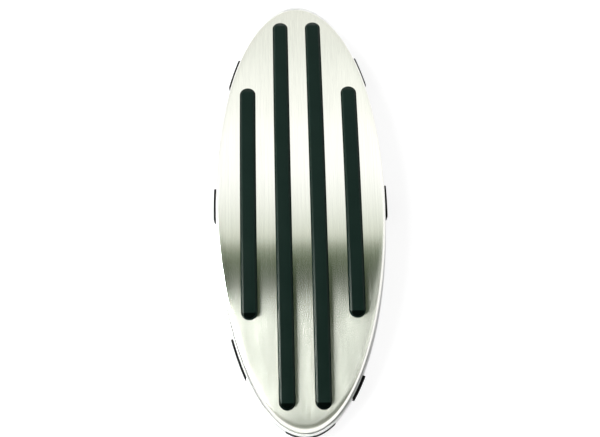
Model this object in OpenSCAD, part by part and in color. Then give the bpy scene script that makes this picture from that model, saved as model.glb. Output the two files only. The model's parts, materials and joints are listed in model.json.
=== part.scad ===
// Foot control for a sewing machine. An arched oval tread plate with rubber
// strips hinges at its heel inside a shallow oval base. Pressing its toe end
// down squeezes two springs and turns a speed sensor through a toothed sector.
// Millimetres. +Y is the toe end, +X the right-hand side, +Z up.
// The floor is z = 0 and the middle of the oval is x = 0, y = 0.

/* [Tread plate] */
// Length of the oval tread plate
tread_length = 293.4; // [284:0.1:300]
// Width of the oval tread plate
tread_width = 108; // [104:0.5:114]
// Height of the arch, from the plate's ends to its crown
tread_sag = 20.7; // [19:0.1:24]
// How far the plate's ends stand above the rim of the base
tread_proud = 2.1; // [2:0.1:3.5]
// Thickness of the plate's sheet steel
plate_gauge = 1; // [0.8:0.1:1.2]
// Radius of the plate's drawn edge
edge_radius = 2.2; // [1.8:0.1:2.6]
// Height of the flange below the drawn edge
flange_height = 3; // [2:0.5:5]
// Diameter of the studs welded under the plate
stud_diameter = 3; // [2.5:0.5:4]

/* [Strips] */
// Width of each rubber strip
strip_width = 10.4; // [8:0.5:12]
// Height of the strips above the plate
strip_rise = 2.3; // [1.5:0.1:3]
// Chamfer along the top edges of the strips
strip_chamfer = 1; // [0.5:0.1:1.4]
// Length of the slope at each end of a strip
strip_slope = 4; // [2:0.5:5]
// Gap from the plate's end to the end of an inner strip
inner_strip_margin = 13.4; // [12:0.1:30]
// Gap from the plate's end to the end of an outer strip
outer_strip_margin = 68; // [60:0.5:90]
// Distance of the inner strips from the middle line
inner_strip_offset = 11.2; // [10:0.1:12.5]
// Distance of the outer strips from the middle line
outer_strip_offset = 33.6; // [30:0.1:35]

/* [Tread frame] */
// Thickness of the frame's shell under the plate
frame_shell = 2; // [1.6:0.1:2.6]
// Thickness of the frame's skirt
skirt_wall = 2; // [1.8:0.1:2.4]
// How far the skirt reaches below the rim of the base
skirt_overlap = 1.6; // [1:0.1:2]
// Depth of the ribs under the shell
rib_depth = 4; // [2:0.5:5]
// Thickness of the ribs
rib_width = 1.6; // [1.2:0.1:2.4]

/* [Base] */
// Gap all round between the tread and the base's wall
running_gap = 0.7; // [0.5:0.1:1]
// Thickness of the base's wall
pan_wall = 1.4; // [1.2:0.1:2]
// Height of the base, without its feet
pan_height = 14.1; // [14:0.1:17]
// Thickness of the base's floor
pan_floor = 2.2; // [2:0.1:2.6]
// How far the feet stand out below the base
foot_height = 1.5; // [1.2:0.1:3]
// Diameter of a foot
foot_diameter = 14; // [10:1:16]
// How far the feet lie inside the tread's edge
foot_inset = 12; // [12:0.5:15]
// Parametric angle of the toe and heel feet on the oval
foot_angle = 52; // [48:1:54]
// Depth of the bare panel sunk in the underside
panel_depth = 0.5; // [0.3:0.1:0.8]

/* [Edge bumpers] */
// How far the toe bumpers stand out of the base's wall
toe_bumper_reach = 2; // [1.5:0.1:2.4]
// How far the middle bumpers stand out of the base's wall
mid_bumper_reach = 1.5; // [1:0.1:2]
// How far the heel left bumper stands out of the base's wall
heel_left_reach = 0.9; // [0.7:0.1:1.5]
// How far the heel right bumper stands out of the base's wall
heel_right_reach = 1.4; // [0.7:0.1:1.6]
// How far the heel bumper stands out of the base's wall
heel_reach = 0.5; // [0.4:0.1:1]
// Height of a bumper
bumper_height = 9; // [6:0.5:11]
// Drop from the rim of the base to the top of a bumper
bumper_drop = 0.6; // [0.3:0.1:1.5]
// Height of the lugs that the two side heel bumpers have in notches of the wall
bumper_lug = 3; // [2:0.5:3]
// How far those lugs reach into the wall
lug_depth = 0.6; // [0.4:0.1:0.8]
// Diameter of the pegs that hold a bumper
bumper_peg = 2.6; // [2:0.1:3]
// Parametric angle of the middle of each toe bumper
toe_bumper_angle = 41.1; // [35:0.1:45]
// Half the angle that a toe bumper spans
toe_bumper_span = 5.3; // [4:0.1:8]
// Parametric angle of the middle bumpers, ahead of the middle
mid_bumper_angle = 1.2; // [0:0.1:3]
// Half the angle that a middle bumper spans
mid_bumper_span = 4.2; // [3:0.1:6]
// Parametric angle of the heel left bumper, behind the middle
heel_left_angle = 42.4; // [40:0.1:50]
// Half the angle that the heel left bumper spans
heel_left_span = 6.6; // [4:0.1:8]
// Parametric angle of the heel right bumper, behind the middle
heel_right_angle = 53.4; // [48:0.1:60]
// Half the angle that the heel right bumper spans
heel_right_span = 4.7; // [3:0.1:7]
// Parametric angle of the heel bumper, behind the middle
heel_angle = 87; // [86:0.5:90]
// Half the angle that the heel bumper spans
heel_span = 15.9; // [10:0.1:18]

/* [Hinge] */
// Distance from the tread's heel end to the hinge
hinge_inset = 28.7; // [26:0.1:34]
// Height of the hinge pin above the base's floor
hinge_height = 5.8; // [5.6:0.1:7]
// Diameter of the hinge pin
pin_diameter = 5; // [4:0.5:5.5]
// Distance between the two ears of the hinge bracket
ear_gap = 26; // [22:1:28]
// Thickness of the bracket's steel
bracket_gauge = 2; // [1.5:0.5:2.5]
// Thickness of a hinge block
block_width = 6; // [6:0.5:8]
// Angle that the tread tilts when it is pressed down
press_angle = 2.1; // [1:0.1:2.1]

/* [Springs] */
// Outer diameter of a return spring
spring_diameter = 11; // [10:0.5:12]
// Diameter of the spring's wire
spring_wire = 1.2; // [1:0.1:1.4]
// Turns of a spring
spring_turns = 7; // [6:1:8]
// Distance of the springs from the middle line
spring_x = 20; // [17:0.5:22]
// Distance of the springs ahead of the middle
spring_y = 62; // [60:0.5:66]
// Height of the pegs that guide the springs
spring_peg = 5; // [3:0.5:6]

/* [Speed sensor] */
// Module of the teeth
gear_module = 0.8; // [0.8:0.1:0.8]
// Teeth of the drive pinion
pinion_teeth = 12; // [12:1:14]
// Teeth that a full ring of the sector would have
sector_ring_teeth = 360; // [350:2:366]
// Width of the toothed sector
sector_width = 5; // [4:0.5:6]
// Height of the sensor's shaft above the base's floor
sensor_height = 13.3; // [13:0.1:14]
// Diameter of the sensor's shaft
shaft_diameter = 4; // [3:0.5:5]
// Width and height of the sensor's head
sensor_size = 13; // [12:0.5:13]

/* [Circuit board] */
// Length of the circuit board
board_length = 114; // [104:1:118]
// Width of the circuit board
board_width = 38; // [34:1:40]
// Thickness of the circuit board
board_thickness = 1.2; // [1:0.1:1.4]
// Height of the board above the base's floor
board_lift = 1.3; // [1:0.1:1.5]
// Width of the jack socket
jack_width = 12; // [10:0.5:14]
// Height of the jack socket's body
jack_height = 4.8; // [4.6:0.1:5]
// Diameter of the hole for the cord's plug
jack_bore = 3.6; // [3.2:0.1:3.8]

/* [Ballast] */
// Thickness of the steel ballast plates
ballast_thickness = 3; // [2:0.5:4]

/* [Hidden] */
$fn = 48;

steel = "silver";
rubber = [0.1, 0.13, 0.12];
silver_plastic = [0.82, 0.83, 0.83];
dark_plastic = [0.2, 0.2, 0.22];

// Clearances
pin_fit = 0.05;       // round a shaft that turns
slot_fit = 0.1;       // between a strip and its slot
plate_bed = 0.15;     // between the plate and the frame's shell
plate_fit = 0.2;      // between the plate's flange and the frame
stop_fit = 0.1;       // between a hook and its keeper at rest
seat_fit = 0.3;       // between a stop post and its buffer when pressed
groove_play = 0.1;    // beside a clip in its groove

// Heights
floor_z = foot_height + pan_floor;
rim_z = foot_height + pan_height;
end_z = rim_z + tread_proud;
crown_z = end_z + tread_sag;
skirt_z = rim_z - skirt_overlap;
hinge_z = floor_z + hinge_height;
board_z = floor_z + board_lift;
board_top = board_z + board_thickness;
sensor_z = floor_z + sensor_height;

// The arch: a cylinder across the tread that meets both ends and the crown
arch_radius = (pow(tread_length / 2, 2) + pow(tread_sag, 2)) / (2 * tread_sag);
frame_top_radius = arch_radius - plate_gauge - plate_bed;
frame_under_radius = frame_top_radius - frame_shell;
flange_low_radius = arch_radius - edge_radius - flange_height;

// Plan sizes
pan_inner_width = tread_width + 2 * running_gap;
pan_inner_length = tread_length + 2 * running_gap;
pan_width = pan_inner_width + 2 * pan_wall;
pan_length = pan_inner_length + 2 * pan_wall;
oval_steps = 144;
plate_steps = 72;

// Hinge line, seen from the side
hinge_y = -tread_length / 2 + hinge_inset;
ear_outer = ear_gap / 2 + bracket_gauge;
bush_flange = 1;
block_inner = ear_outer + bush_flange + 0.5;
block_outer = block_inner + block_width;
block_depth = 14;
block_crown = 5.5;
bush_radius = pin_diameter / 2 + 1;
ear_radius = bush_radius + 1.5;
clip_thickness = 0.8;
clip_radius = pin_diameter / 2 + 2;
groove_depth = 0.4;
pin_end = block_outer + clip_thickness + 2;
bracket_top = hinge_z + 8.5;
bracket_depth = 16;
bracket_screw_x = 8.5;
bracket_screw_y = 5;

// Screws
screw_radius = 1.25;
head_radius = 2.4;
head_height = 1.2;
screw_boss = 3;
sink_depth = head_height;

// Toothed sector and pinion, meshing on the line between their axes
sector_radius = sector_ring_teeth * gear_module / 2;
pinion_radius = pinion_teeth * gear_module / 2;
axis_distance = sector_radius + pinion_radius;
mesh_angle = asin((sensor_z - hinge_z) / axis_distance);
sensor_y = hinge_y + axis_distance * cos(mesh_angle);
tooth_pitch = 360 / sector_ring_teeth;
pressure_angle = 20;
backlash = 0.16;
addendum = 0.85 * gear_module;
dedendum = 1.2 * gear_module;
sector_back = 4;
pinion_width = sector_width + 1;
teeth_below = 1;
teeth_above = ceil(press_angle / tooth_pitch) + 1;
sector_flange_z = arch_height(sensor_y - 12, frame_under_radius) - 3.4;
sector_flange = 2;
sector_stem_y = hinge_y + sector_radius - dedendum - sector_back - 2;
sector_screw_x = 6.5;
sector_screw_y = sector_stem_y - 7;

// Circuit board, from the sensor back towards the heel
board_toe = sensor_y + 12;
board_heel = board_toe - board_length;
board_left = -board_width / 2 + 3;
board_right = board_left + board_width;
board_screw_inset = 3.5;
jack_y = board_heel + 22;
jack_length = 13;
jack_nose = 2.3;
jack_z = board_top + jack_height / 2;
jack_face = oval_x(abs(jack_y) + jack_width / 2, pan_inner_width, pan_inner_length) - 0.3;
jack_back = jack_face - jack_length;
jack_mouth = oval_x(jack_y, pan_inner_width, pan_inner_length) + 0.7 * pan_wall;
sensor_back = pinion_width / 2 + 2;
sensor_depth = 10;

// Springs
spring_mean = (spring_diameter - spring_wire) / 2;
spring_guide = spring_diameter / 2 - spring_wire - 0.4;
spring_seat = spring_diameter / 2 + 1.5;
spring_seat_z = arch_height(spring_y + spring_seat, frame_under_radius) - 1;
spring_rings = 8;
spring_sides = 6;
spring_end_gap = 0.5;

// Stops: hooks on the frame under keepers, and posts over rubber buffers
hook_x = 10;
hook_width = 8;
hook_y = spring_y + 20;
hook_stem = 2.5;
hook_nose = 3;
hook_nose_height = 2.2;
hook_drop = (hook_y + hook_stem + hook_nose - hinge_y) * sin(press_angle);
hook_z = floor_z + hook_drop + 1.2;
keeper_ledge = 2.4;
keeper_post = 4;
keeper_y = hook_y + hook_stem + hook_nose + 0.6;
keeper_z = hook_z + hook_nose_height + stop_fit;
buffer_x = 33;
buffer_y = spring_y + 22;
buffer_radius = 5;
buffer_height = 3;
stop_post_radius = 4;
stop_post_z = floor_z + buffer_height + seat_fit
  + (buffer_y + stop_post_radius - hinge_y) * sin(press_angle);

// Ballast plates
ballast_depth = 22;
ballast_gap = 3.6;     // between the toe ballast and the keepers
toe_ballast_start = keeper_y + keeper_post + ballast_gap;
toe_ballast_y = [toe_ballast_start, toe_ballast_start + ballast_depth];
heel_ballast_end = hinge_y + block_depth / 2 + 4;
heel_ballast_y = [heel_ballast_end, heel_ballast_end + ballast_depth];
ballast_half = 17;
ballast_screw_x = 12;

// Places of what repeats, as [x, y]
stud_places = [[0, -88], [0, 88], [-22.4, -34], [22.4, -34], [-22.4, 34], [22.4, 34]];
rib_places = [-95, -60, -16, 48, 108];
foot_places = [for (t = [foot_angle, 180 - foot_angle, 0, 180, -foot_angle, foot_angle - 180])
  [(tread_width / 2 - foot_inset) * cos(t), (tread_length / 2 - foot_inset) * sin(t)]];
foot_plug = 2.5;
pan_screw_length = 6;
panel_width = 46;
panel_length = 70;
nut_height = 2.4;
nut_radius = 3.2;
strip_peg_radius = 1.5;
strip_peg_inset = 14;
inner_strip_half = tread_length / 2 - inner_strip_margin;
outer_strip_half = tread_length / 2 - outer_strip_margin;

// Height of the arch of radius r at y
function arch_height(y, r) = crown_z - arch_radius + sqrt(r * r - y * y);

// Half the width of an oval at y
function oval_x(y, width, length) = width / 2 * sqrt(1 - pow(2 * y / length, 2));

// Point of an oval at the parametric angle t
function oval_point(width, length, t) = [width / 2 * cos(t), length / 2 * sin(t)];

// Direction square to an oval at the parametric angle t
function oval_normal(width, length, t) = atan2(sin(t) / length, cos(t) / width);

module oval(width, length) {
  polygon([for (i = [0:oval_steps - 1]) oval_point(width, length, 360 * i / oval_steps)]);
}

// Oval ring of an even thickness round an oval hole
module oval_ring(width, length, thickness) {
  difference() {
    oval(width + 2 * thickness, length + 2 * thickness);
    oval(width, length);
  }
}

// The oval of the tread, drawn in by inset
module tread_oval(inset) {
  oval(tread_width - 2 * inset, tread_length - 2 * inset);
}

// All that lies under the arch of radius r
module under_arch(r) {
  translate([0, 0, crown_z - arch_radius])
    rotate([0, 90, 0])
      cylinder(r = r, h = 2 * tread_width, center = true, $fn = 720);
}

// Outline with round ends, length measured tip to tip
module slot_outline(width, length) {
  square([width, length - width], center = true);
  for (side = [-1, 1])
    translate([0, side * (length - width) / 2])
      circle(d = width);
}

// Bar along X, centred on x = 0
module x_rod(r, length) {
  rotate([0, 90, 0])
    cylinder(r = r, h = length, center = true);
}

// A box from its lowest to its highest corner
module block(low, high) {
  translate(low)
    cube(high - low);
}

// Screw with its head's seat at the origin and its shank along -Z
module screw(length) {
  cylinder(r = head_radius, h = head_height);
  translate([0, 0, -length])
    cylinder(r = screw_radius, h = length);
}

// ---- Base ----

// Places of the screws that hold the hinge blocks and keepers from below
block_screw_places = [for (x = [-1, 1], y = [-1, 1])
  [x * (block_inner + block_width / 2), hinge_y + y * (block_depth / 2 - 2.4)]];
keeper_screw_places = [for (x = [-1, 1])
  [x * hook_x, keeper_y + keeper_post / 2]];
board_screw_places = [for (x = [board_left + board_screw_inset, board_right - board_screw_inset],
    y = [board_heel + board_screw_inset, board_toe - board_screw_inset]) [x, y]];
ballast_screw_places = concat(
  [for (x = [-1, 1]) [x * ballast_screw_x, (toe_ballast_y[0] + toe_ballast_y[1]) / 2]],
  [for (x = [-1, 1]) [x * ballast_screw_x, (heel_ballast_y[0] + heel_ballast_y[1]) / 2]]);

// The tray's floor. Its wall and posts are moulded on it
module base_pan() {
  color(silver_plastic)
    difference() {
      translate([0, 0, foot_height])
        linear_extrude(pan_floor)
          oval(pan_width, pan_length);
      for (p = concat(block_screw_places, keeper_screw_places))
        translate([p[0], p[1], foot_height]) {
          cylinder(r = screw_radius, h = 3 * pan_floor, center = true);
          cylinder(r = head_radius + slot_fit, h = 2 * sink_depth, center = true);
        }
      for (p = concat(board_screw_places, ballast_screw_places))
        translate([p[0], p[1], foot_height + 0.6])
          cylinder(r = screw_radius, h = pan_floor);
      for (p = foot_places)
        translate([p[0], p[1], foot_height])
          cylinder(r = foot_plug, h = 3 * pan_floor, center = true);
      translate([0, 0, foot_height])
        cube([panel_width, panel_length, 2 * panel_depth], center = true);
    }
}

// The wall round the floor, with the bumpers' notches and the hole for the cord's plug
module base_wall() {
  color(silver_plastic)
    difference() {
      translate([0, 0, floor_z])
        linear_extrude(rim_z - floor_z)
          oval_ring(pan_inner_width, pan_inner_length, pan_wall);
      for (b = bumper_list) {
        bumper_pegs(b[0], b[1], pan_wall + 1);
        if (b[3] > 0)
          translate([0, 0, bumper_top - b[3]])
            linear_extrude(b[3] + 2 * bumper_drop)
              intersection() {
                oval_ring(pan_width - 2 * lug_depth, pan_length - 2 * lug_depth, lug_depth + 1);
                wedge(b[0], b[1]);
              }
      }
      translate([jack_face, jack_y, jack_z])
        x_rod(jack_nose + pin_fit, 12);
    }
}

// The board's screw posts and the pegs that centre the springs
module base_posts() {
  color(silver_plastic) {
    for (p = board_screw_places)
      translate([p[0], p[1], floor_z])
        difference() {
          cylinder(r = screw_boss, h = board_lift);
          cylinder(r = screw_radius, h = 3 * board_lift, center = true);
        }
    for (side = [-1, 1])
      translate([side * spring_x, spring_y, floor_z])
        cylinder(r = spring_guide, h = spring_peg);
  }
}

// ---- Edge bumpers, each [middle angle, half span, reach, lug height] ----

bumper_list = [[180 - toe_bumper_angle, toe_bumper_span, toe_bumper_reach, 0],
  [toe_bumper_angle, toe_bumper_span, toe_bumper_reach, 0],
  [180 - mid_bumper_angle, mid_bumper_span, mid_bumper_reach, 0],
  [mid_bumper_angle, mid_bumper_span, mid_bumper_reach, 0],
  [180 + heel_left_angle, heel_left_span, heel_left_reach, bumper_lug],
  [-heel_right_angle, heel_right_span, heel_right_reach, bumper_lug],
  [-heel_angle, heel_span, heel_reach, 0]];
bumper_top = rim_z - bumper_drop;

// The sector of the plan that lies span to either side of the angle
module wedge(angle, span) {
  polygon(concat([[0, 0]],
    [for (i = [-1, 0, 1]) oval_point(2 * pan_width, 2 * pan_length, angle + i * span)]));
}

// Round pegs through the wall, square to it, length inwards from its outside
module bumper_pegs(angle, span, length) {
  for (side = [-1, 1]) {
    t = angle + side * span / 2;
    p = oval_point(pan_width, pan_length, t);
    translate([p[0], p[1], bumper_top - bumper_height / 2])
      rotate([0, 0, oval_normal(pan_width, pan_length, t)])
        translate([0.4, 0, 0])
          rotate([0, -90, 0])
            cylinder(d = bumper_peg, h = length + 0.4);
  }
}

// A pad round the wall, with its pegs, and a lug in the wall's notch if it has one
module bumper(b) {
  color(rubber) {
    translate([0, 0, bumper_top - bumper_height])
      linear_extrude(bumper_height)
        intersection() {
          oval_ring(pan_width, pan_length, b[2]);
          wedge(b[0], b[1]);
        }
    if (b[3] > 0)
      translate([0, 0, bumper_top - b[3]])
        linear_extrude(b[3])
          intersection() {
            oval_ring(pan_width - 2 * lug_depth, pan_length - 2 * lug_depth, lug_depth + b[2] / 2);
            wedge(b[0], b[1]);
          }
    intersection() {
      bumper_pegs(b[0], b[1], pan_wall - 0.2);
      translate([0, 0, bumper_top - bumper_height])
        linear_extrude(bumper_height)
          oval(pan_width + b[2], pan_length + b[2]);
    }
  }
}

// ---- Feet ----

module foot(place) {
  color(rubber)
    translate([place[0], place[1], 0]) {
      cylinder(d = foot_diameter, h = foot_height);
      cylinder(r = foot_plug, h = foot_height + pan_floor);
    }
}

// ---- Hinge ----

module hinge_block(side) {
  low = min(side * block_inner, side * block_outer);
  color(dark_plastic)
    difference() {
      union() {
        block([low, hinge_y - block_depth / 2, floor_z], [low + block_width, hinge_y + block_depth / 2,
          hinge_z]);
        translate([low + block_width / 2, hinge_y, hinge_z])
          x_rod(block_crown, block_width);
      }
      translate([low + block_width / 2, hinge_y, hinge_z])
        x_rod(pin_diameter / 2 + pin_fit, block_width + 1);
      for (p = block_screw_places)
        translate([p[0], p[1], floor_z])
          cylinder(r = screw_radius, h = 2 * (pan_screw_length - pan_floor), center = true);
    }
}

module block_screws() {
  color(steel)
    for (p = block_screw_places)
      translate([p[0], p[1], foot_height + sink_depth])
        rotate([180, 0, 0])
          screw(pan_screw_length - sink_depth);
}

module hinge_pin() {
  color(steel)
    translate([0, hinge_y, hinge_z])
      difference() {
        x_rod(pin_diameter / 2, 2 * pin_end);
        for (side = [-1, 1])
          translate([side * (block_outer + groove_play + clip_thickness / 2), 0, 0])
            difference() {
              x_rod(pin_diameter, clip_thickness + 2 * groove_play);
              x_rod(pin_diameter / 2 - groove_depth, clip_thickness + 4 * groove_play);
            }
      }
}

module pin_clips() {
  color(steel)
    for (side = [-1, 1])
      translate([side * (block_outer + groove_play + clip_thickness / 2), hinge_y, hinge_z])
        difference() {
          x_rod(clip_radius, clip_thickness);
          x_rod(pin_diameter / 2 - groove_depth, clip_thickness + 1);
          block([-clip_thickness, -1.2, -2 * clip_radius], [clip_thickness, 1.2, 0]);
        }
}

module hinge_bracket() {
  color(steel)
    difference() {
      union() {
        block([-ear_outer, hinge_y - bracket_depth / 2, bracket_top - bracket_gauge],
          [ear_outer, hinge_y + bracket_depth / 2, bracket_top]);
        for (side = [-1, 1])
          translate([side * (ear_gap + bracket_gauge) / 2, hinge_y, hinge_z]) {
            x_rod(ear_radius, bracket_gauge);
            block([-bracket_gauge / 2, -ear_radius, 0],
              [bracket_gauge / 2, ear_radius, bracket_top - hinge_z]);
          }
      }
      translate([0, hinge_y, hinge_z])
        x_rod(bush_radius, 2 * ear_outer + 1);
      for (p = bracket_screw_places)
        translate([p[0], p[1], bracket_top])
          cylinder(r = screw_radius, h = 3 * bracket_gauge, center = true);
    }
}

bracket_screw_places = [for (x = [-1, 1], y = [-1, 1])
  [x * bracket_screw_x, hinge_y + y * bracket_screw_y]];
bracket_screw_length = 6;

module bracket_screws() {
  color(steel)
    for (p = bracket_screw_places)
      translate([p[0], p[1], bracket_top - bracket_gauge])
        rotate([180, 0, 0])
          screw(bracket_screw_length);
}

module hinge_bushes() {
  color("ivory")
    for (side = [-1, 1])
      translate([side * (ear_gap + bracket_gauge) / 2, hinge_y, hinge_z])
        difference() {
          union() {
            x_rod(bush_radius, bracket_gauge);
            translate([side * (bracket_gauge + bush_flange) / 2, 0, 0])
              x_rod(bush_radius + 1, bush_flange);
          }
          x_rod(pin_diameter / 2 + pin_fit, 4 * bracket_gauge);
        }
}

// ---- Springs ----

// Centre of the wire a share s of the way up, with closer turns at both ends
function spring_rise(s, low, high) =
  let (turn = s * spring_turns, end_pitch = spring_wire + spring_end_gap,
    pitch = (high - low - 2 * end_pitch) / (spring_turns - 2))
  turn < 1 ? low + turn * end_pitch
  : turn > spring_turns - 1 ? high - (spring_turns - turn) * end_pitch
  : low + end_pitch + (turn - 1) * pitch;

spring_low = floor_z + spring_wire / 2;
spring_high = spring_seat_z - spring_wire / 2;
spring_count = spring_turns * spring_rings;
spring_centres = [for (i = [0:spring_count]) let (s = i / spring_count, t = 360 * spring_turns * s)
  [spring_mean * cos(t), spring_mean * sin(t), spring_rise(s, spring_low, spring_high)]];
spring_gap = min([for (i = [0:spring_count - spring_rings])
  norm(spring_centres[i + spring_rings] - spring_centres[i])]) - spring_wire;
echo(least_gap_between_spring_turns = spring_gap);

module return_spring(side) {
  points = [for (i = [0:spring_count], k = [0:spring_sides - 1])
    let (t = 360 * i / spring_rings, a = 360 * k / spring_sides, r = spring_wire / 2)
    spring_centres[i] + r * [cos(a) * cos(t), cos(a) * sin(t), sin(a)]];
  sides = [for (i = [0:spring_count - 1], k = [0:spring_sides - 1])
    let (a = i * spring_sides + k, b = i * spring_sides + (k + 1) % spring_sides,
      c = b + spring_sides, d = a + spring_sides)
    each [[a, b, c], [a, c, d]]];
  last = spring_count * spring_sides;
  caps = concat([for (k = [1:spring_sides - 2]) [0, k + 1, k]],
    [for (k = [1:spring_sides - 2]) [last, last + k, last + k + 1]]);
  color(steel)
    translate([side * spring_x, spring_y, 0])
      polyhedron(points, concat(sides, caps));
}

// ---- Stops ----

module keeper(side) {
  x = side * hook_x - hook_width / 2;
  color(dark_plastic)
    difference() {
      union() {
        block([x, keeper_y, floor_z], [x + hook_width, keeper_y + keeper_post, keeper_z]);
        block([x, keeper_y - hook_nose, keeper_z],
          [x + hook_width, keeper_y + keeper_post, keeper_z + keeper_ledge]);
      }
      for (p = keeper_screw_places)
        translate([p[0], p[1], floor_z])
          cylinder(r = screw_radius, h = 2 * (pan_screw_length - pan_floor), center = true);
    }
}

module keeper_screws() {
  color(steel)
    for (p = keeper_screw_places)
      translate([p[0], p[1], foot_height + sink_depth])
        rotate([180, 0, 0])
          screw(pan_screw_length - sink_depth);
}

module travel_buffer(side) {
  color(rubber)
    translate([side * buffer_x, buffer_y, floor_z])
      cylinder(r = buffer_radius, h = buffer_height);
}

// ---- Ballast ----

module ballast(span) {
  color(steel)
    difference() {
      block([-ballast_half, span[0], floor_z], [ballast_half, span[1], floor_z + ballast_thickness]);
      for (p = ballast_screw_places)
        translate([p[0], p[1], floor_z])
          cylinder(r = screw_radius, h = 3 * ballast_thickness, center = true);
    }
}

module ballast_screws() {
  color(steel)
    for (p = ballast_screw_places)
      translate([p[0], p[1], floor_z + ballast_thickness])
        screw(ballast_thickness + pan_floor - 1);
}

// ---- Circuit board and speed sensor ----

chip_size = [14, 14, 1.6];
capacitor_radius = 4;
capacitor_height = 9;
chip_y = board_heel + 50;
capacitor_y = board_heel + 74;

module circuit_board() {
  color("darkgreen")
    difference() {
      union() {
        block([board_left, board_heel, board_z], [board_right, board_toe, board_top]);
        block([board_right - 1, jack_y - jack_width / 2 - 2, board_z],
          [jack_face - 4, jack_y + jack_width / 2 + 2, board_top]);
      }
      for (p = board_screw_places)
        translate([p[0], p[1], board_z])
          cylinder(r = screw_radius, h = 3 * board_thickness, center = true);
    }
}

module control_chip() {
  color("dimgray")
    translate([(board_left + board_right) / 2, chip_y, board_top + chip_size[2] / 2])
      cube(chip_size, center = true);
}

module board_capacitor() {
  color("slategray")
    translate([(board_left + board_right) / 2, capacitor_y, board_top])
      cylinder(r = capacitor_radius, h = capacitor_height);
}

module jack_socket() {
  color(dark_plastic)
    difference() {
      union() {
        block([jack_back, jack_y - jack_width / 2, board_top],
          [jack_face, jack_y + jack_width / 2, board_top + jack_height]);
        translate([jack_face, jack_y, jack_z])
          rotate([0, 90, 0])
            cylinder(r = jack_nose, h = jack_mouth - jack_face);
      }
      translate([jack_back + 1, jack_y, jack_z])
        rotate([0, 90, 0])
          cylinder(d = jack_bore, h = 2 * jack_length);
    }
}

module sensor_body() {
  color(dark_plastic)
    difference() {
      union() {
        block([sensor_back, sensor_y - sensor_size / 2, board_top],
          [sensor_back + sensor_depth, sensor_y + sensor_size / 2, sensor_z + sensor_size / 2]);
        translate([sensor_back - 0.7, sensor_y, sensor_z])
          x_rod(shaft_diameter / 2 + 1.2, 1.4);
      }
      translate([sensor_back - 2, sensor_y, sensor_z])
        rotate([0, 90, 0])
          cylinder(r = shaft_diameter / 2 + pin_fit, h = sensor_depth);
    }
}

module board_screws() {
  color(steel)
    for (p = board_screw_places)
      translate([p[0], p[1], board_top])
        screw(board_thickness + board_lift + 1);
}

module sensor_shaft() {
  color(steel)
    translate([-pinion_width / 2, sensor_y, sensor_z])
      rotate([0, 90, 0])
        cylinder(d = shaft_diameter, h = pinion_width / 2 + sensor_back + sensor_depth - 2.5);
}

// Turns of the involute, in degrees, from its root to the radius r
function involute_turn(r, base) = let (a = acos(min(1, base / r))) tan(a) * 180 / PI - a;

// Half a tooth's angle at the radius r, for a gear of pitch radius pitch
function half_tooth(r, pitch, base) =
  (PI * gear_module / 2 - backlash) / 2 / pitch * 180 / PI
  + involute_turn(pitch, base) - involute_turn(r, base);

// Outline of a tooth's two flanks as [radius, angle] pairs, from root to root
function pinion_tooth(middle, root, base, flank) = concat(
  [[root, middle - half_tooth(base, pinion_radius, base)]],
  [for (r = flank) [r, middle - half_tooth(r, pinion_radius, base)]],
  [for (i = [len(flank) - 1:-1:0]) [flank[i], middle + half_tooth(flank[i], pinion_radius, base)]],
  [[root, middle + half_tooth(base, pinion_radius, base)]]);

module pinion_outline() {
  base = pinion_radius * cos(pressure_angle);
  root = pinion_radius - dedendum;
  tip = pinion_radius + addendum;
  flank = [for (i = [0:5]) base + (tip - base) * i / 5];
  polygon([for (k = [0:pinion_teeth - 1], p = pinion_tooth(360 * k / pinion_teeth, root, base, flank))
    p[0] * [cos(p[1]), sin(p[1])]]);
}

module drive_pinion() {
  color("ivory")
    translate([-pinion_width / 2, sensor_y, sensor_z])
      rotate([90, 0, 90])
        linear_extrude(pinion_width)
          difference() {
            rotate(180 + mesh_angle - 180 / pinion_teeth)
              pinion_outline();
            circle(d = shaft_diameter);
          }
}

// ---- Tread frame ----

bracket_boss = 3;
frame_step = 0.7;
sector_flange_back = sector_stem_y - 12;
sector_flange_front = sector_stem_y + sector_back - 0.6;
sector_screw_length = 5;
stud_seat_radius = 4.2;

// Height of the flat seat round a stud
function stud_seat_z(y) = arch_height(abs(y) + stud_seat_radius, frame_under_radius) - 0.6;

// A round pillar from z up into the shell
module pillar(x, y, z, r) {
  translate([x, y, z])
    cylinder(r = r, h = crown_z - z);
}

module frame_fittings() {
  for (p = bracket_screw_places)
    pillar(p[0], p[1], bracket_top, bracket_boss);
  for (side = [-1, 1]) {
    pillar(side * sector_screw_x, sector_screw_y, sector_flange_z, screw_boss);
    pillar(side * spring_x, spring_y, spring_seat_z, spring_seat);
    pillar(side * spring_x, spring_y, spring_seat_z - spring_peg, spring_guide);
    pillar(side * buffer_x, buffer_y, stop_post_z, stop_post_radius);
    block([side * hook_x - hook_width / 2, hook_y, hook_z],
      [side * hook_x + hook_width / 2, hook_y + hook_stem, crown_z]);
  }
  for (p = stud_places)
    pillar(p[0], p[1], stud_seat_z(p[1]), stud_seat_radius);
  difference() {
    for (y = rib_places)
      block([-tread_width, y - rib_width / 2, skirt_z], [tread_width, y + rib_width / 2, crown_z]);
    under_arch(frame_under_radius - rib_depth);
  }
}

module hook_noses() {
  for (side = [-1, 1])
    block([side * hook_x - hook_width / 2, hook_y + hook_stem - 0.5, hook_z],
      [side * hook_x + hook_width / 2, hook_y + hook_stem + hook_nose, hook_z + hook_nose_height]);
}

// The tread's oval, drawn in by inset, from low up to the arch of radius r
module frame_layer(inset, r, low = skirt_z) {
  intersection() {
    translate([0, 0, low])
      linear_extrude(crown_z)
        tread_oval(inset);
    under_arch(r);
  }
}

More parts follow.
